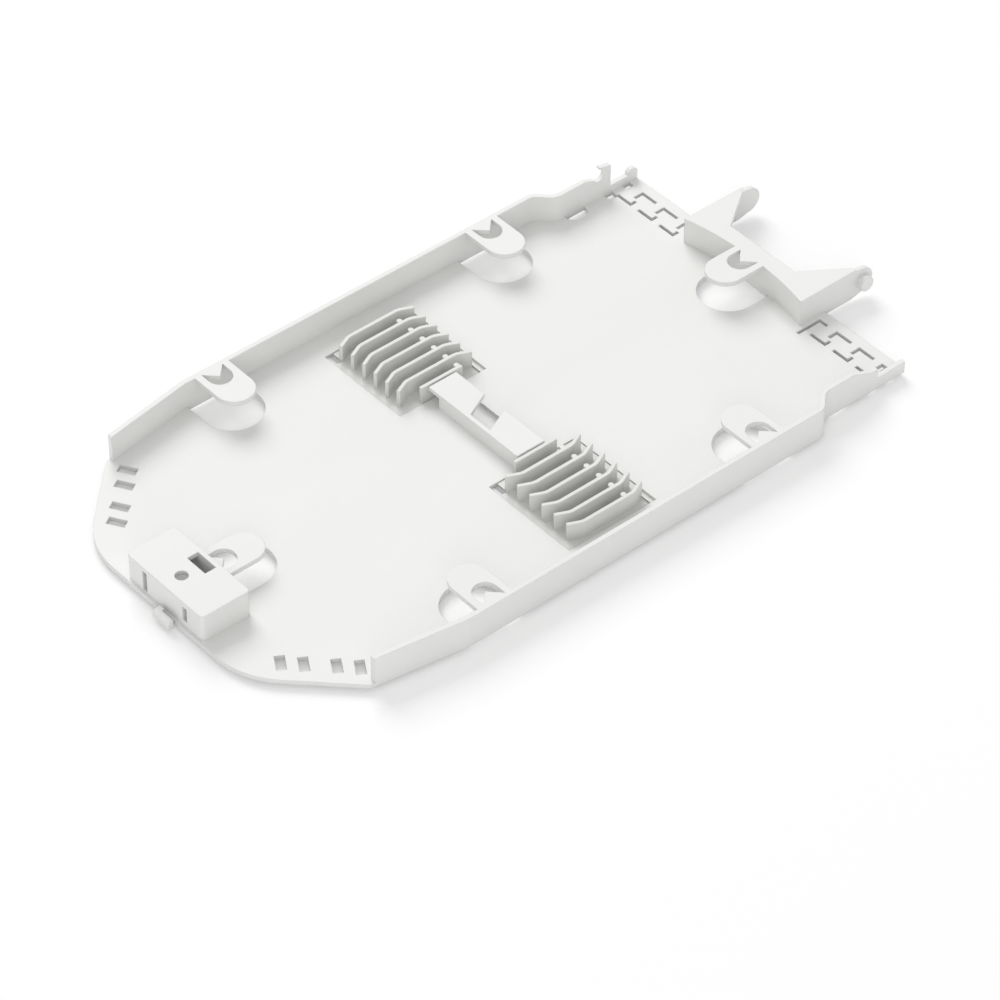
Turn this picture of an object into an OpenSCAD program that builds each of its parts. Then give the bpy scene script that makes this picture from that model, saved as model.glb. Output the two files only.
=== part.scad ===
// Splice tray for optical fibre. X runs from the rounded latch end to the hinge end, Y across, Z up.
// The splice holders lie on X = 0 of the layout, and the finished part is centred on its length.

/* [Tray] */
// Width across the outside of the side walls
tray_w = 105; // [98:1:120]
// Distance from the splice holders' centre line to the latch end's straight edge
nose_len = 95.5; // [92:0.5:110]
// Distance from the splice holders' centre line to the hinge end's edge
hinge_len = 88.8; // [87:0.2:100]
// Thickness of the floor
floor_t = 1.2; // [1:0.1:1.8]
// Height of the side walls from the underside of the floor
wall_h = 8.6; // [7.6:0.2:12]
// Thickness of the side walls
wall_t = 1.3; // [1:0.1:1.8]

/* [Outline] */
// Width of the latch end's straight edge, measured to the sharp corners
nose_w = 56; // [48:1:60]
// Radius where the straight edge turns into the slanted edge
nose_r = 22; // [14:1:26]
// Slant of the edges beside the latch end
nose_slant = 45; // [40:1:50]
// Distance from the holders' centre line to the bend where the walls start to close in
bend_x = 49.6; // [46:0.2:60]
// Angle at which the walls close in towards the latch end
taper = 9; // [6:0.5:12]
// Distance from the holders' centre line to the walls' open ends at the latch end
wall_start = 73.9; // [70:0.1:80]
// Distance from the holders' centre line to the step in the walls
jog_x = 58.4; // [55:0.2:62]
// Depth of the step in the walls
jog_in = 4.2; // [2.5:0.1:5]
// Radius of the step's two bends
jog_r = 3.4; // [2.5:0.1:4]
// Angle of the step's slanted piece
jog_turn = 45; // [40:1:50]

/* [Wall ends] */
// Distance from the holders' centre line to where the walls start to drop
ramp_x = 71.7; // [70:0.1:74]
// Height to which the walls drop at the first hook
ramp_h = 6; // [5:0.1:7]
// Height of the low rail behind the first hook
rail_h = 3.3; // [2.5:0.1:4.5]
// Distance from the holders' centre line to the back of the first hook
hook_x = 79.8; // [78:0.1:82]
// Width of the first hook's post
hook_w = 2; // [1.5:0.1:2.8]
// Height of the first hook above the underside
hook_h = 10.6; // [9.6:0.1:12]
// Reach of the hook from its back to its tip
hook_tip = 3.6; // [3:0.1:4.2]
// Drop of the hook's top from its tip to its back
hook_drop = 0.8; // [0.4:0.1:1.2]
// Radius of the hook's round mouth
mouth_r = 1.8; // [1.4:0.1:2]
// Width of the opening in the floor below the hook
hook_hole_w = 2.4; // [1.8:0.1:3]
// Width of the opening in the floor beside the end post
post_hole_w = 1.8; // [1.4:0.1:2.4]
// Distance from the holders' centre line to the half-round hole beside the wall
rim_hole_x = 68; // [66:0.1:69]
// Radius of the half-round hole beside the wall
rim_hole_r = 3.2; // [2.4:0.1:3.6]
// Width of the end post
post_w = 3; // [2:0.1:4]
// Height of the end post
post_h = 4.9; // [4:0.1:7.5]

/* [Retaining tabs] */
// Width of a retaining tab
tab_w = 10; // [9:0.1:12]
// Reach of a side wall's retaining tab
tab_len = 13.7; // [12:0.1:16]
// Reach of the hinge end's retaining tab
cross_tab_len = 12.9; // [12:0.1:15]
// Reach of the latch box's retaining tab
box_tab_len = 13.7; // [13:0.1:17]
// Thickness of a retaining tab
tab_t = 1.2; // [0.9:0.1:1.8]
// Distance of the wall tabs from the holders' centre line
tab_x = 41.5; // [36:0.5:45]
// Width of the round notch at a tab's root
notch_w = 6.3; // [5:0.1:7.5]
// Depth of the round notch
notch_len = 6.2; // [5:0.1:8]
// Reach of the pointed tooth inside the notch
tooth_len = 3.2; // [2:0.1:3.6]
// Clear width round a tab in the opening below it
tab_gap = 2.7; // [1.6:0.1:3.5]
// Clear length past a tab's tip in the opening below it
tip_gap = 1.5; // [0.8:0.1:2.5]
// Clear length past the tip of the latch box's tab
box_tip_gap = 2.4; // [1:0.1:3]
// Height of the top of the latch box's tab
box_tab_h = 6.7; // [6:0.1:7.4]

/* [Cable slots] */
// Length of a cable-tie slot in the slanted edge
slot_len = 4.6; // [3.5:0.1:5.5]
// Width of a cable-tie slot
slot_w = 2.4; // [1.8:0.1:2.8]
// Distance from the slots' middle to the slanted edge
slot_inset = 5.4; // [4.4:0.1:6.5]
// Distance between the two slots of a pair
slot_pair = 5.2; // [4.4:0.1:6]
// Distance between the two pairs
slot_gap = 12.6; // [11.5:0.1:14]
// Distance from the slanted edge's end at the wall to the slot next to it
slot_end = 2.8; // [2:0.1:4]
// Angle between a slot and the square across the slanted edge
slot_skew = 14; // [0:1:20]

/* [Latch box] */
// Length of the latch box
box_len = 13.7; // [12:0.1:16]
// Width of the latch box
box_w = 27.6; // [22:0.2:32]
// Height of the latch box from the underside of the floor
box_h = 8.6; // [8:0.1:10]
// Wall thickness of the latch box
box_t = 1.2; // [1:0.1:1.6]
// Rim of floor in front of the latch box
box_rim = 0.7; // [0.5:0.1:2]
// Radius of the box's upright edges
box_r = 1; // [0.5:0.1:1.1]
// Distance from the box's front to the round hole's middle
box_hole_x = 5; // [4:0.1:6]
// Radius of the round hole in the box
box_hole_r = 1.6; // [1.2:0.1:2]
// Distance from the box's front to the window
box_win_x = 9.4; // [8.4:0.1:9.4]
// Length of the window in the box
box_win_len = 3.1; // [2.5:0.1:3.1]
// Width of the window in the box
box_win_w = 6.6; // [5:0.1:8]
// Distance from the tray's middle to a slit in the box's front
box_slit_y = 7.35; // [6:0.05:9]
// Width of a slit in the box's front
box_slit_w = 1.5; // [1:0.1:2]
// Lower ends of the near and the far slit
box_slit_low = [2.9, 1.65];
// Upper ends of the near and the far slit
box_slit_top = [7, 7.35];
// Width of the latch hook
latch_w = 5.8; // [5:0.2:8]
// Reach of the latch hook past the straight edge
latch_len = 2.2; // [1.8:0.1:3]
// Height of the latch hook
latch_h = 2.4; // [2:0.1:3.5]
// Width of the gap behind the latch hook
latch_gap = 0.8; // [0.5:0.1:1.2]
// Length of the latch hook's neck
latch_neck = 1.6; // [1:0.1:2.4]

/* [Hinge end] */
// Outside distance between the two hinge arms
arm_span = 41.4; // [38:0.2:44]
// Thickness of a hinge arm
arm_t = 1.3; // [1:0.1:1.8]
// Distance from the hinge end's edge to the hinge axis
arm_len = 12.2; // [11:0.2:15]
// Radius of a hinge arm's round end
arm_end_r = 3.5; // [3:0.1:3.8]
// Radius of a hinge pin
pin_r = 2; // [1.5:0.1:2.6]
// Length of a hinge pin
pin_len = 2; // [1.5:0.1:3]
// Distance from the hinge end's edge back to the middle of the cross wall
cross_back = 5.8; // [5:0.1:7]
// Bow of the cross wall from its ends to its middle
cross_bow = 2.1; // [1:0.1:3]
// Thickness of the cross wall's top plate and the webs
web_t = 1.2; // [0.9:0.1:1.6]
// Width of the top plate behind the cross wall
plate_len = 4.3; // [3.5:0.1:5]

/* [Cable-tie slits] */
// Width of a slit
slit_w = 0.9; // [0.6:0.1:1.2]
// Distance between neighbouring slits
slit_pitch = 7.8; // [7:0.1:8.2]
// Length of a slit along the edge
slit_len = 5.4; // [4.5:0.1:6]
// Distance from the outer row of slits to the hinge end's edge
slit_edge = 3.2; // [2.4:0.1:4]
// Distance between the two rows of slits
slit_rows = 5.1; // [4.6:0.1:6]
// Length of a slit's short leg
slit_leg = 2.2; // [1.4:0.1:2.4]
// Sideways shift between the two slits of a pair
slit_shift = 3.3; // [2.6:0.1:4]
// Distance from the wall's outside to the first pair of slits
slit_start = 3.2; // [2.6:0.1:4]
// Distance from the near arm to its first pair of slits
slit_arm = 4; // [3.4:0.1:4.4]
// Distance from the near arm to the lead slit
lead_arm = 1.3; // [1:0.1:1.6]

/* [Centre bridge] */
// Height of the bridge between the splice holders
bridge_h = 5.6; // [4.8:0.1:7]
// Thickness of the bridge's upright
bridge_t = 1.2; // [1:0.1:1.6]
// Distance of the upright from the holders' centre line
bridge_x = 4; // [3:0.1:5]
// Reach of the bridge's tabs
bridge_reach = 7.2; // [6:0.1:9]
// Thickness of the bridge's tabs
bridge_tab_t = 1; // [0.8:0.1:1.4]
// Distance of the tabs' inner corners from the tray's middle
bridge_mid = 1.6; // [1:0.1:2.4]
// Slant of the tabs' inner ends along the tray's width
bridge_slant = 4; // [3:0.1:5]
// Gap between the upright's far end and the far splice holder
bridge_gap = 3.7; // [2:0.1:5]

/* [Splice holders] */
// Length of a splice holder's window along the tray
window_len = 26.5; // [25.4:0.1:28]
// Distance from the tray's middle to a window
window_in = 16.1; // [15.5:0.1:17.5]
// Distance between neighbouring fins
fin_pitch = 4.27; // [3.9:0.01:4.4]
// Number of long fins on a splice holder
fin_count = 6; // [4:1:6]
// Thickness of a fin
fin_t = 0.9; // [0.7:0.1:1.2]
// Height of the fins above the underside of the tray
fin_h = 5.6; // [4.8:0.1:7]
// Straight length of a long fin
fin_len = 13.5; // [11:0.1:14.5]
// Angle of a long fin's turned ends
fin_turn = 25; // [15:1:30]
// Radius of a fin's bends
fin_r = 4; // [2:0.5:6]
// Length of a long fin's turned end past the bend
fin_tail = 3.1; // [2.4:0.1:3.5]
// Length of the short fin next to the tray's middle
short_fin_len = 12.6; // [10:0.1:14]
// Shift of the long fins towards the hinge end
fin_shift = 0.15; // [0:0.05:0.4]
// Radius of the stop beside a fin, at the hinge-side end of each channel
stop_r = 0.7; // [0.5:0.1:0.9]
// Distance from the holders' centre line to the stops
stop_x = 5.5; // [4:0.1:6]
// Thickness of a holder's base
base_t = 0.5; // [0.4:0.1:0.6]
// Gap between a holder's base and its window
base_gap = 0.15; // [0.1:0.05:0.3]
// Length of the reliefs in two corners of a holder's base
relief_l = 2.2; // [1.4:0.1:3]
// Width of the smaller relief
relief_w = 3.6; // [2.4:0.1:4.5]
// Width of the ledge that carries the holder's base
ledge_w = 1.2; // [0.8:0.1:1.6]
// Thickness of the ledge
ledge_t = 0.45; // [0.4:0.05:0.5]

/* [Hidden] */
$fn = 64;
eps = 0.01;
// How far joined forms run into each other
lap = 0.3;
// Share by which a rounding circle is larger than the touching one
over = 1.0015;
far_cut = 400;
half_w = tray_w / 2;
hinge_half_w = half_w - jog_in;
wall_face = half_w - wall_t;
slant_dir = [cos(nose_slant), sin(nose_slant)];
// Point where the slanted edge meets the line of the tapering wall
slant_run = (half_w - (nose_len - bend_x) * tan(taper) - nose_w / 2) / (tan(nose_slant) - tan(taper));
slant_end = [-nose_len + slant_run, nose_w / 2 + slant_run * tan(nose_slant)];
jog_run = jog_in / tan(jog_turn);
post_x = hinge_len - post_w;
box_x = -nose_len + box_rim;
tab_root = box_x + box_len;
arm_out = arm_span / 2;
axis_x = hinge_len + arm_len;
axis_z = wall_h / 2;
cross_x = hinge_len - cross_back;
cross_half = arm_out - arm_t;
cross_r = (cross_half * cross_half + cross_bow * cross_bow) / (2 * cross_bow);
cross_c = cross_x - cross_r;
window_w = (fin_count - 0.5) * fin_pitch + 4.7;
window_mid = window_in + window_w / 2;
short_fin_y = window_in + fin_t;
latch_tip = nose_len + latch_len;
x_shift = (latch_tip - axis_x - arm_end_r) / 2;

// Wedge between a sharp corner and the arc that rounds it; d1 and d2 point along the two edges.
// The circle is a hair larger than the one that touches the edges, so it crosses them cleanly.
module corner_fill(p, d1, d2, r) {
    half = acos(d1 * d2) / 2;
    bis = (d1 + d2) / norm(d1 + d2);
    c = p + bis * r / sin(half);
    side_1 = p + d1 * r / tan(half) - c;
    side_2 = p + d2 * r / tan(half) - c;
    reach = 1 + lap / r;
    difference() {
        polygon([c, c + side_1 * reach, c + (p - c) * reach, c + side_2 * reach]);
        translate(c) circle(r * over);
    }
}

// Line of the wall's outside, moved in by a distance, from the latch end to the hinge end.
function wall_line(i) = [
    [-wall_start - lap, half_w - i / cos(taper) - (wall_start + lap - bend_x) * tan(taper)],
    [-bend_x + i * tan(taper / 2), half_w - i],
    [jog_x - i * tan(jog_turn / 2), half_w - i],
    [jog_x + jog_run - i * tan(jog_turn / 2), hinge_half_w - i],
    [hinge_len, hinge_half_w - i]
];

function back_to_front(v) = [for (k = [len(v) - 1 : -1 : 0]) v[k]];

module jog_bend(i, r) {
    p = wall_line(i)[2];
    corner_fill(p, [-1, 0], [cos(jog_turn), -sin(jog_turn)], r);
}

module jog_hollow(i, r) {
    p = wall_line(i)[3];
    corner_fill(p, [1, 0], [-cos(jog_turn), sin(jog_turn)], r);
}

// Half of the floor's outline, on the +Y side.
module half_outline() {
    line = wall_line(0);
    nose = [-nose_len, nose_w / 2];
    union() {
        difference() {
            polygon([
                [-nose_len, -eps],
                nose,
                slant_end,
                line[0], line[1], line[2], line[3], line[4],
                [hinge_len, arm_out - arm_t],
                [cross_x, arm_out - arm_t],
                [cross_x, -eps]
            ]);
            corner_fill(nose, [0, -1], slant_dir, nose_r);
            jog_bend(0, jog_r);
        }
        jog_hollow(0, jog_r);
    }
}

module wall_band() {
    difference() {
        union() {
            polygon(concat(wall_line(0), back_to_front(wall_line(wall_t))));
            jog_hollow(0, jog_r);
            jog_bend(wall_t, jog_r - wall_t);
        }
        jog_bend(0, jog_r);
        jog_hollow(wall_t, jog_r + wall_t);
    }
}

// Height of the side wall along its length; only the far wall carries the hook and the end post.
module wall_profile(hooked) {
    hook_front = hook_x - hook_w;
    difference() {
        union() {
            polygon([
                [-wall_start, 0],
                [-wall_start, wall_h],
                [ramp_x, wall_h],
                [hook_front, ramp_h],
                [hook_x, ramp_h],
                [hook_x, rail_h],
                [hinge_len, rail_h],
                [hinge_len, 0]
            ]);
            if (hooked) {
                polygon([
                    [hook_front, rail_h],
                    [hook_x, rail_h],
                    [hook_x, hook_h - hook_drop],
                    [hook_x - hook_tip, hook_h],
                    [hook_x - hook_tip, ramp_h],
                    [hook_front, ramp_h]
                ]);
                translate([post_x, 0]) square([post_w, post_h - post_w / 2]);
                translate([post_x + post_w / 2, post_h - post_w / 2]) circle(post_w / 2);
            }
        }
        if (hooked) {
            translate([hook_x - hook_tip - mouth_r / 9, hook_h - mouth_r - hook_drop / 2]) circle(mouth_r);
        }
    }
}

module side_wall(hooked) {
    intersection() {
        linear_extrude(hook_h) wall_band();
        translate([0, half_w + 1, 0]) rotate([90, 0, 0]) linear_extrude(half_w) wall_profile(hooked);
    }
}

// Outline of a retaining tab that grows from the line x = 0 towards +X.
module tab_shape(w, length) {
    translate([-eps, -w / 2]) square([length - w / 2 + eps, w]);
    translate([length - w / 2, 0]) circle(w / 2);
}

module retaining_tab(length, top) {
    translate([0, 0, top - tab_t]) linear_extrude(tab_t) {
        difference() {
            tab_shape(tab_w, length);
            tab_shape(notch_w, notch_len);
        }
        polygon([[-eps, -tooth_len], [tooth_len, 0], [-eps, tooth_len]]);
    }
}

module tab_opening(length, gap) {
    tab_shape(tab_w + 2 * tab_gap, length + gap);
}

// Places the four tabs of the side walls; each child grows from the wall's inner face.
module at_wall_tabs() {
    for (x = [-tab_x, tab_x]) {
        for (s = [-1, 1]) {
            translate([x, s * wall_face]) rotate(-90 * s) children();
        }
    }
}

module tie_slots() {
    for (d = [slot_end, slot_end + slot_pair, slot_end + slot_gap, slot_end + slot_gap + slot_pair]) {
        translate(slant_end - slant_dir * d)
            rotate(nose_slant - 90)
                translate([slot_inset, 0])
                    rotate(-slot_skew)
                        square([slot_len, slot_w], center = true);
    }
}

// One pair of L-shaped slits; a cable tie goes down through one and up through the other.
module slit_pair(y) {
    x_in = hinge_len - slit_edge - slit_rows;
    x_out = hinge_len - slit_edge;
    translate([x_in - slit_w / 2, y - slit_len]) square([slit_w, slit_len]);
    translate([x_in - slit_w / 2, y - slit_len]) square([slit_leg, slit_w]);
    translate([x_out - slit_w / 2, y - slit_len - slit_shift]) square([slit_w, slit_len]);
    translate([x_out - slit_leg - slit_w / 2, y - slit_shift - slit_w]) square([slit_leg + slit_w, slit_w]);
}

// Slit between the near arm and its first pair: one long leg, and a short run along the edge.
module lead_slit(y) {
    x_out = hinge_len - slit_edge;
    long_leg = slit_rows + slit_leg;
    translate([x_out - long_leg, y - slit_w]) square([long_leg + slit_w / 2, slit_w]);
    translate([x_out - slit_w / 2, y - slit_leg - slit_w]) square([slit_w, slit_leg + eps]);
}

// Openings in the floor below the hook and beside the end post, next to the wall's inner face.
module hook_openings() {
    inner = hinge_half_w - wall_t;
    translate([hook_x - hook_w, inner - hook_hole_w]) square([1.3 * hook_w, hook_hole_w]);
    translate([post_x - post_w * 0.7, inner - post_hole_w]) square([post_w * 0.8, post_hole_w]);
}

module floor_plan() {
    difference() {
        union() {
            half_outline();
            mirror([0, 1]) half_outline();
        }
        at_wall_tabs() tab_opening(tab_len, tip_gap);
        translate([cross_x, 0]) rotate(180) tab_opening(cross_tab_len, tip_gap);
        translate([tab_root, 0]) tab_opening(box_tab_len, box_tip_gap);
        translate([box_x + box_t, -box_w / 2 + box_t]) square([box_len - 2 * box_t, box_w - 2 * box_t]);
        for (s = [-1, 1]) {
            translate([-window_len / 2, s * window_mid - window_w / 2]) square([window_len, window_w]);
            scale([1, s]) tie_slots();
            scale([1, s]) hook_openings();
            translate([rim_hole_x, s * (wall_face - jog_in)])
                rotate(s * -90) intersection() {
                    circle(rim_hole_r);
                    translate([0, -rim_hole_r - 1]) square([rim_hole_r + 1, 2 * rim_hole_r + 2]);
                }
        }
        translate([-bridge_x + bridge_t, 1 - window_in])
            square([bridge_reach, 2 * window_in - 2]);
        for (k = [0 : 2]) {
            slit_pair(hinge_half_w - slit_start - k * slit_pitch);
            slit_pair(-arm_out - slit_arm - k * slit_pitch);
        }
        lead_slit(-arm_out - lead_arm);
    }
}

// Low ledges at both ends of a window, on which the holder's base rests.
module window_ledges() {
    for (s = [-1, 1]) {
        for (e = [-1, 1]) {
            translate([e * (window_len / 2 - ledge_w / 2), s * window_mid, ledge_t / 2])
                cube([ledge_w + eps, window_w + eps, ledge_t], center = true);
        }
    }
}

// Plan of the latch box, with its upright edges rounded.
module box_plan() {
    difference() {
        translate([box_x, -box_w / 2]) square([box_len, box_w]);
        for (s = [-1, 1]) {
            corner_fill([box_x, s * box_w / 2], [1, 0], [0, -s], box_r);
            corner_fill([box_x + box_len, s * box_w / 2], [-1, 0], [0, -s], box_r);
        }
    }
}

module latch_box() {
    difference() {
        linear_extrude(box_h) box_plan();
        translate([box_x + box_t, -box_w / 2 + box_t, -eps])
            cube([box_len - 2 * box_t, box_w - 2 * box_t, box_h - box_t + eps]);
        translate([box_x + box_hole_x, 0, 1]) cylinder(r = box_hole_r, h = box_h);
        translate([box_x + box_win_x, -box_win_w / 2 + box_hole_r / 4, 1]) cube([box_win_len, box_win_w, box_h]);
        for (k = [0, 1]) {
            translate([box_x - 1, (2 * k - 1) * box_slit_y - box_slit_w / 2, box_slit_low[k]])
                cube([box_t + 2, box_slit_w, box_slit_top[k] - box_slit_low[k]]);
        }
    }
    translate([tab_root, 0, 0]) retaining_tab(box_tab_len, box_tab_h);
}

// Hook at the straight edge that snaps onto the next tray; it hangs on a neck at its +Y end.
module latch_hook() {
    lead_in = latch_len / 3;
    translate([-nose_len, latch_w / 2 - 2, 0]) difference() {
        rotate([90, 0, 0]) linear_extrude(latch_w) polygon([
            [eps, 0],
            [eps, latch_h],
            [-latch_len + lead_in, latch_h],
            [-latch_len, latch_h - lead_in],
            [-latch_len, 0]
        ]);
        translate([-latch_gap, -latch_w - 1, -1]) cube([2, latch_w + 1 - latch_neck, latch_h + 2]);
    }
}

module cross_wall() {
    difference() {
        intersection() {
            translate([cross_c, 0, 0]) cylinder(r = cross_r + wall_t, h = wall_h, $fn = 256);
            translate([0, -arm_out, 0]) cube([far_cut, 2 * arm_out, wall_h]);
        }
        translate([cross_c, 0, -1]) cylinder(r = cross_r, h = wall_h + 2, $fn = 256);
    }
}

// Top plate behind the cross wall, widening into a web along each arm.
module top_web() {
    back = cross_x + plate_len;
    plate_half = arm_out * 0.55;
    tip = axis_x - 2.2;
    translate([0, 0, wall_h - web_t]) linear_extrude(web_t) difference() {
        polygon([
            [cross_x - cross_bow, -arm_out],
            [tip, -arm_out],
            [tip, -arm_out + arm_t],
            [back, -plate_half],
            [back, plate_half],
            [tip, arm_out - arm_t],
            [tip, arm_out],
            [cross_x - cross_bow, arm_out]
        ]);
        translate([cross_c, 0]) circle(cross_r, $fn = 256);
    }
}

module hinge_arm() {
    x0 = cross_x - cross_bow;
    translate([0, arm_out, 0]) rotate([90, 0, 0]) linear_extrude(arm_t) {
        polygon([
            [x0, 0],
            [x0, wall_h],
            [axis_x - 1.3 * arm_end_r, wall_h],
            [axis_x, axis_z + arm_end_r],
            [axis_x, axis_z - arm_end_r],
            [axis_x - arm_end_r, 0]
        ]);
        translate([axis_x, axis_z]) circle(arm_end_r);
    }
    translate([axis_x, arm_out + pin_len, axis_z]) rotate([90, 0, 0]) cylinder(r = pin_r, h = pin_len + eps);
}

module centre_bridge() {
    edge = window_in - base_gap;
    x0 = -bridge_x - bridge_t / 2;
    x1 = -bridge_x + bridge_reach + bridge_t / 2;
    translate([x0, -edge, 0]) cube([bridge_t, 2 * edge - bridge_gap, bridge_h]);
    translate([0, 0, bridge_h - bridge_tab_t]) linear_extrude(bridge_tab_t) {
        polygon([[x0, edge], [x1, edge], [x1, bridge_mid + bridge_slant], [x0, bridge_mid]]);
        polygon([[x0, -edge], [x1, -edge], [x1, -bridge_mid], [x0, -bridge_mid - bridge_slant]]);
    }
}

module tray() {
    color("gainsboro")
    translate([x_shift, 0, 0]) {
        linear_extrude(floor_t) floor_plan();
        window_ledges();
        for (s = [0, 1]) {
            mirror([0, s, 0]) {
                side_wall(s == 0);
                hinge_arm();
            }
        }
        translate([0, 0, wall_h]) at_wall_tabs() translate([0, 0, -wall_h]) retaining_tab(tab_len, wall_h);
        latch_box();
        latch_hook();
        cross_wall();
        top_web();
        translate([cross_x, 0, 0]) rotate(180) retaining_tab(cross_tab_len, wall_h);
        centre_bridge();
    }
}

function mirror_x(p) = [-p[0], p[1]];

// Plan of one long fin, with both ends turned towards -Y.
module fin_shape() {
    bend = fin_r * tan(fin_turn / 2);
    skew = [tan(fin_turn / 2), 1] * fin_t / 2;
    outer = [fin_len / 2 + bend, 0] + skew;
    inner = [fin_len / 2 + bend, 0] - skew;
    tail_dir = [cos(fin_turn), -sin(fin_turn)];
    tail_side = [sin(fin_turn), cos(fin_turn)] * fin_t / 2;
    tip = [fin_len / 2 + bend, 0] + tail_dir * (bend + fin_tail);
    difference() {
        union() {
            polygon([
                mirror_x(tip - tail_side),
                mirror_x(inner),
                inner,
                tip - tail_side,
                tip + tail_side,
                outer,
                mirror_x(outer),
                mirror_x(tip + tail_side)
            ]);
            for (s = [-1, 1]) {
                scale([s, 1]) corner_fill(inner, [-1, 0], tail_dir, fin_r - fin_t / 2);
            }
        }
        for (s = [-1, 1]) {
            scale([s, 1]) corner_fill(outer, [-1, 0], tail_dir, fin_r + fin_t / 2);
        }
    }
}

// Splice holder for the +Y side; two corners of its base are cut away, and side tells which.
module splice_holder(side) {
    base_len = window_len - 2 * base_gap;
    base_w = window_w - 2 * base_gap;
    base_top = ledge_t + base_t;
    translate([0, 0, ledge_t]) linear_extrude(base_t) difference() {
        translate([-base_len / 2, window_mid - base_w / 2]) square([base_len, base_w]);
        translate([-base_len / 2, window_mid + side * base_w / 2])
            square([2 * relief_l, 2 * relief_w], center = true);
        translate([base_len / 2, window_mid - side * base_w / 2])
            square([2 * relief_l, 3 * relief_w], center = true);
    }
    translate([0, 0, base_top - eps]) linear_extrude(fin_h - base_top + eps) {
        for (k = [0 : fin_count - 1]) {
            y = short_fin_y + (k + 0.95) * fin_pitch;
            translate([fin_shift, y]) fin_shape();
        }
        for (k = [0 : fin_count - 1]) {
            y = short_fin_y + (side > 0 ? (k == 0 ? 0 : (k - 0.05) * fin_pitch) : (k + 0.95) * fin_pitch);
            translate([stop_x, y + side * (fin_t / 2 + stop_r * 0.6)]) circle(stop_r);
        }
        translate([-short_fin_len / 2, short_fin_y - fin_t / 2]) square([short_fin_len, fin_t]);
    }
}

module splice_holder_far() {
    color("darkgray") translate([x_shift, 0, 0]) splice_holder(1);
}

module splice_holder_near() {
    color("darkgray") translate([x_shift, 0, 0]) mirror([0, 1, 0]) splice_holder(-1);
}

tray();
splice_holder_far();
splice_holder_near();
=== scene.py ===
"""Looks for the fibre splice tray: materials, floor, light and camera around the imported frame."""

import bpy
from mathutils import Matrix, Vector

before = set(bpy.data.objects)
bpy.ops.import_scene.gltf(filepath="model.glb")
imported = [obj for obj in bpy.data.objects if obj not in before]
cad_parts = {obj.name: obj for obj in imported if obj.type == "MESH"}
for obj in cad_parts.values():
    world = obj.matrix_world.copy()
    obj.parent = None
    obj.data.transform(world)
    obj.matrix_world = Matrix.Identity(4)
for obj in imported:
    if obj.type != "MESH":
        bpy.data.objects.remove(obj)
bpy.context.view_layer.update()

MM = 0.001
WHITE = (1, 1, 1, 1)


# ---- node helper --------------------------------------------------------------------------------


class Nodes:
    """Short way to add linked nodes to the node tree of one material or world, emptied first."""

    def __init__(self, owner):
        owner.use_nodes = True
        self.tree = owner.node_tree
        self.tree.nodes.clear()

    def put(self, socket, value):
        if isinstance(value, bpy.types.NodeSocket):
            self.tree.links.new(value, socket)
        else:
            socket.default_value = value

    def add(self, kind, **sockets):
        node = self.tree.nodes.new(kind)
        for name, value in sockets.items():
            self.put(node.inputs[name.replace("_", " ")], value)
        return node

    def math(self, operation, a, b):
        node = self.tree.nodes.new("ShaderNodeMath")
        node.operation = operation
        self.put(node.inputs[0], a)
        self.put(node.inputs[1], b)
        return node.outputs[0]

    def dot(self, a, b):
        node = self.tree.nodes.new("ShaderNodeVectorMath")
        node.operation = "DOT_PRODUCT"
        self.put(node.inputs[0], a)
        self.put(node.inputs[1], b)
        return node.outputs["Value"]

    def noise(self, place, scale, detail=3.0, roughness=0.5):
        node = self.add("ShaderNodeTexNoise", Vector=place, Scale=scale, Detail=detail, Roughness=roughness)
        return node.outputs["Fac"]

    def spread(self, value, low, high, at_low=0.0, at_high=1.0):
        """Maps low to high onto at_low to at_high, and holds the ends outside that range."""
        node = self.add("ShaderNodeMapRange", Value=value, From_Min=low, From_Max=high)
        self.put(node.inputs["To Min"], at_low)
        self.put(node.inputs["To Max"], at_high)
        return node.outputs["Result"]

    def blend(self, factor, a, b):
        node = self.tree.nodes.new("ShaderNodeMix")
        node.data_type = "RGBA"
        sockets = {socket.identifier: socket for socket in [*node.inputs, *node.outputs]}
        self.put(sockets["Factor_Float"], factor)
        self.put(sockets["A_Color"], a)
        self.put(sockets["B_Color"], b)
        return sockets["Result_Color"]


# ---- moulded plastic ----------------------------------------------------------------------------

# Sizes of the marks, as noise cells to the metre.
DRIFT_SCALE = 14.0
CLOUD_SCALE = 95.0
WAVE_SCALE = 60.0
GRAIN_SCALE = 2600.0

DRIFT_SHARE = 0.65
# Reach of the AO probe for the painted corner shade, and how much darker than the dark tone that painted
# shade is.
PAINTED_SHADE_REACH = 4 * MM
PAINTED_SHADE_FACTOR = 0.70
# Radius of the rounded edge normal, which also sets how wide the painted edge highlight is.
EDGE_RADIUS = 0.28 * MM
WAVE_DEPTH = 0.25 * MM
GRAIN_DEPTH = 0.03 * MM
PROBE_RAYS = 4
PLASTIC_IOR = 1.49
PLASTIC_SPECULAR = 0.35


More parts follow.
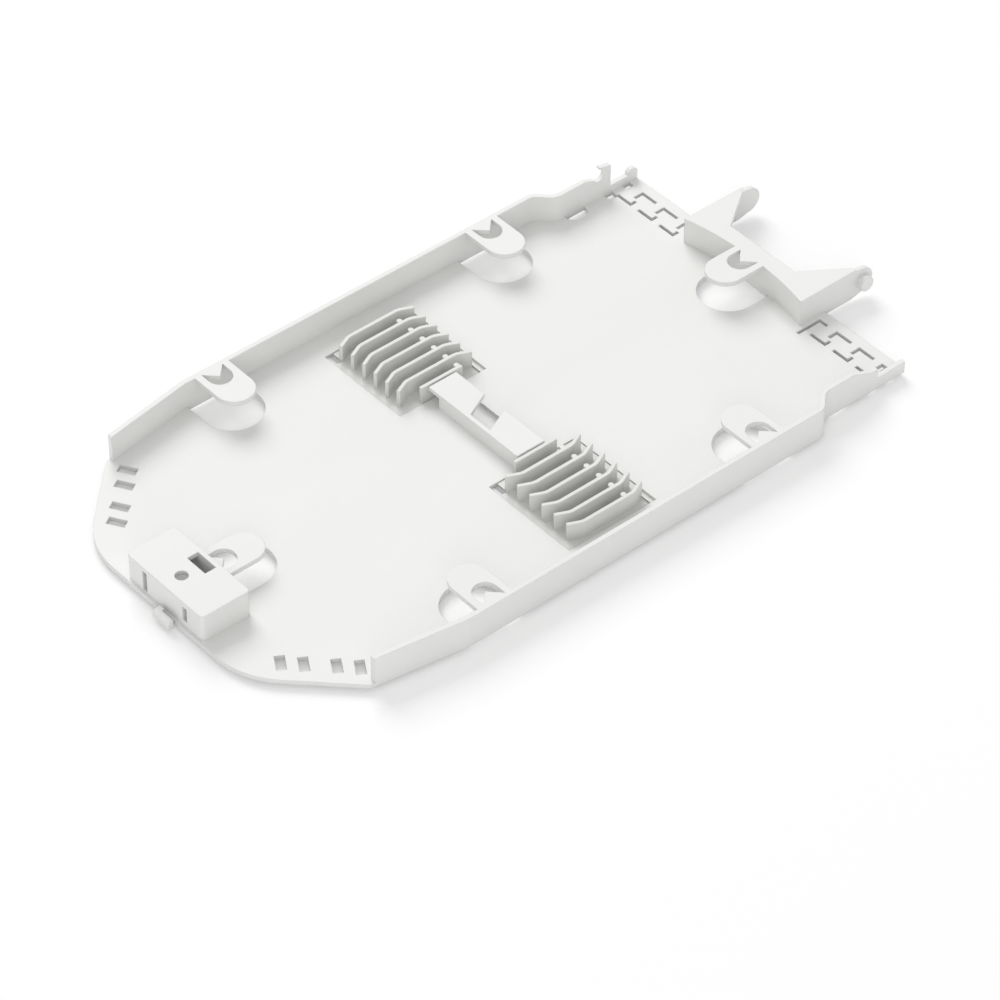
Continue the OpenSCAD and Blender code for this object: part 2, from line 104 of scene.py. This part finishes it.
def moulded_plastic(name, light, dark, edge_highlight_colour, rough, flow, painted_shade_strength, edge_highlight_strength):
    """Fine-grained moulded plastic: faint flow marks, painted shade darkening the corners, and a painted
    highlight lightening the edges.
    """
    material = bpy.data.materials.new(name)
    n = Nodes(material)
    place = n.add("ShaderNodeTexCoord").outputs["Object"]

    # Slow drift of shade along the way the plastic flowed, and finer clouding on top of it.
    flowing = n.add("ShaderNodeMapping", Vector=place, Scale=flow).outputs["Vector"]
    drift = n.noise(flowing, DRIFT_SCALE, detail=4.0, roughness=0.55)
    cloud = n.noise(place, CLOUD_SCALE, detail=5.0, roughness=0.6)
    drift_part = n.math("MULTIPLY", drift, DRIFT_SHARE)
    cloud_part = n.math("MULTIPLY", cloud, 1.0 - DRIFT_SHARE)
    tone = n.math("ADD", drift_part, cloud_part)
    colour = n.blend(n.spread(tone, low=0.36, high=0.66), dark, light)

    # Painted shade: where the AO probe finds little open sky, in corners and crevices, the colour is
    # darkened towards a darker tone of the plastic.
    open_sky = n.add("ShaderNodeAmbientOcclusion", Distance=PAINTED_SHADE_REACH)
    open_sky.samples = PROBE_RAYS
    painted_shade = n.spread(open_sky.outputs["AO"], low=0.35, high=0.95, at_low=painted_shade_strength, at_high=0.0)
    painted_shade_colour = [part * PAINTED_SHADE_FACTOR for part in dark[:3]] + [1.0]
    colour = n.blend(painted_shade, colour, painted_shade_colour)

    # Edges look rounded, and where the rounded normal turns away from the true one a painted highlight
    # makes them lighter.
    rounded = n.add("ShaderNodeBevel", Radius=EDGE_RADIUS)
    rounded.samples = PROBE_RAYS
    flat = n.add("ShaderNodeNewGeometry").outputs["True Normal"]
    turned = n.dot(rounded.outputs["Normal"], flat)
    painted_edge_highlight = n.spread(turned, low=0.995, high=0.80, at_low=0.0, at_high=edge_highlight_strength)
    colour = n.blend(painted_edge_highlight, colour, edge_highlight_colour)

    # The fine grain of the surface, and the faint waviness of a thin moulding.
    grain = n.noise(place, GRAIN_SCALE, detail=2.0)
    wavy = n.noise(flowing, WAVE_SCALE, detail=2.0, roughness=0.4)
    mottle = n.math("ADD", grain, cloud)
    gloss = n.spread(mottle, low=0.7, high=1.3, at_low=rough - 0.06, at_high=rough + 0.08)
    wave = n.add("ShaderNodeBump", Strength=0.25, Distance=WAVE_DEPTH, Height=wavy)
    n.put(wave.inputs["Normal"], rounded.outputs["Normal"])
    bump = n.add("ShaderNodeBump", Strength=0.22, Distance=GRAIN_DEPTH, Height=grain)
    n.put(bump.inputs["Normal"], wave.outputs["Normal"])

    shader = n.add("ShaderNodeBsdfPrincipled", Base_Color=colour, Roughness=gloss, IOR=PLASTIC_IOR)
    n.put(shader.inputs["Specular IOR Level"], PLASTIC_SPECULAR)
    n.put(shader.inputs["Normal"], bump.outputs["Normal"])
    n.add("ShaderNodeOutputMaterial", Surface=shader.outputs["BSDF"])
    return material


# The last two settings of each plastic are the strength of the painted corner shade and of the painted edge
# highlight.
tray_plastic = moulded_plastic(
    "tray_plastic",
    light=(0.822, 0.820, 0.808, 1),
    dark=(0.788, 0.788, 0.772, 1),
    edge_highlight_colour=(0.93, 0.93, 0.92, 1),
    rough=0.52,
    flow=(0.5, 1.6, 1.0),
    painted_shade_strength=0.35,
    edge_highlight_strength=0.70,
)
holder_plastic = moulded_plastic(
    "holder_plastic",
    light=(0.77, 0.775, 0.75, 1),
    dark=(0.73, 0.735, 0.71, 1),
    edge_highlight_colour=(0.90, 0.90, 0.885, 1),
    rough=0.50,
    flow=(0.7, 2.0, 1.0),
    painted_shade_strength=0.70,
    edge_highlight_strength=0.85,
)

for name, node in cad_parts.items():
    plastic = tray_plastic if name == "tray" else holder_plastic
    node.data.materials.clear()
    node.data.materials.append(plastic)


# ---- floor and world ----------------------------------------------------------------------------

FLOOR_REACH = 6.0
FLOOR_DROP = 1.0 * MM
FLOOR_WHITE_SHARE = 0.30
PAPER_TONE_SCALE = 3.0
PAPER_DARK = (0.97, 0.97, 0.97, 1)
PAPER_LIGHT = (0.985, 0.985, 0.985, 1)
WORLD_LIGHT = 0.62


def show_white(n, lit, white, share=1.0):
    """Camera, glossy and transmitted rays see a share of the plain white. What lights the object stays."""
    rays = n.add("ShaderNodeLightPath").outputs
    looks = n.math("MAXIMUM", rays["Is Camera Ray"], rays["Is Glossy Ray"])
    looks = n.math("MAXIMUM", looks, rays["Is Transmission Ray"])
    mix = n.add("ShaderNodeMixShader", Fac=n.math("MULTIPLY", looks, share))
    n.put(mix.inputs[1], lit.outputs[0])
    n.put(mix.inputs[2], white.outputs[0])
    return mix.outputs[0]


def make_paper():
    """White paper, seen partly as the white of the background, so the object's shadow on it is faint."""
    material = bpy.data.materials.new("floor_paper")
    n = Nodes(material)
    place = n.add("ShaderNodeTexCoord").outputs["Object"]
    colour = n.blend(n.noise(place, PAPER_TONE_SCALE), PAPER_DARK, PAPER_LIGHT)
    paper = n.add("ShaderNodeBsdfDiffuse", Color=colour)
    white = n.add("ShaderNodeEmission", Color=WHITE, Strength=1.0)
    surface = show_white(n, paper, white, FLOOR_WHITE_SHARE)
    n.add("ShaderNodeOutputMaterial", Surface=surface)
    return material


def make_floor():
    """One square sheet just below the tray, a separate object, not part of the tray."""
    signs = [(-1, -1), (1, -1), (1, 1), (-1, 1)]
    corners = [(x * FLOOR_REACH, y * FLOOR_REACH, 0) for x, y in signs]
    mesh = bpy.data.meshes.new("floor")
    mesh.from_pydata(corners, [], [(0, 1, 2, 3)])
    mesh.materials.append(make_paper())
    floor = bpy.data.objects.new("floor", mesh)
    floor.location.z = -FLOOR_DROP
    bpy.context.scene.collection.objects.link(floor)


def make_world():
    """Even light from all round, behind a plain white background."""
    world = bpy.data.worlds.new("studio")
    bpy.context.scene.world = world
    n = Nodes(world)
    white = n.add("ShaderNodeBackground", Color=WHITE, Strength=1.0)
    lit = n.add("ShaderNodeBackground", Color=WHITE, Strength=WORLD_LIGHT)
    n.add("ShaderNodeOutputWorld", Surface=show_white(n, lit, white))


make_floor()
make_world()


# ---- lamps and camera ---------------------------------------------------------------------------

SENSOR_WIDTH_MM = 36.0
LENS_MM = 165.1
CAMERA_PLACE = Vector((-521.6, -612.0, 715.1)) * MM
CAMERA_AIM = Vector((-16.76, -20.1, 0.0)) * MM
CLIP_NEAR = 0.05
CLIP_FAR = 20.0


def turn_to(piece, aim):
    """Turns a lamp or the camera, which look down their own -Z, so that it faces the aim."""
    piece.rotation_euler = (aim - piece.location).to_track_quat("-Z", "Y").to_euler()


def soft_box(name, place, size, power):
    """Square area lamp that faces the middle of the tray. Place and size are in metres, power in watts."""
    lamp = bpy.data.lights.new(name, "AREA")
    lamp.size = size
    lamp.energy = power
    box = bpy.data.objects.new(name, lamp)
    box.location = place
    turn_to(box, Vector((0, 0, 0)))
    bpy.context.scene.collection.objects.link(box)


soft_box("key", place=(0.47, 1.44, 1.46), size=1.2, power=24.5)
soft_box("fill", place=(-0.75, -0.95, 0.55), size=0.8, power=3.2)

camera_data = bpy.data.cameras.new("camera")
camera_data.sensor_width = SENSOR_WIDTH_MM
camera_data.lens = LENS_MM
camera_data.clip_start = CLIP_NEAR
camera_data.clip_end = CLIP_FAR
camera = bpy.data.objects.new("camera", camera_data)
camera.location = CAMERA_PLACE
turn_to(camera, CAMERA_AIM)
bpy.context.scene.collection.objects.link(camera)
bpy.context.scene.camera = camera
bpy.context.scene.view_settings.view_transform = "Standard"
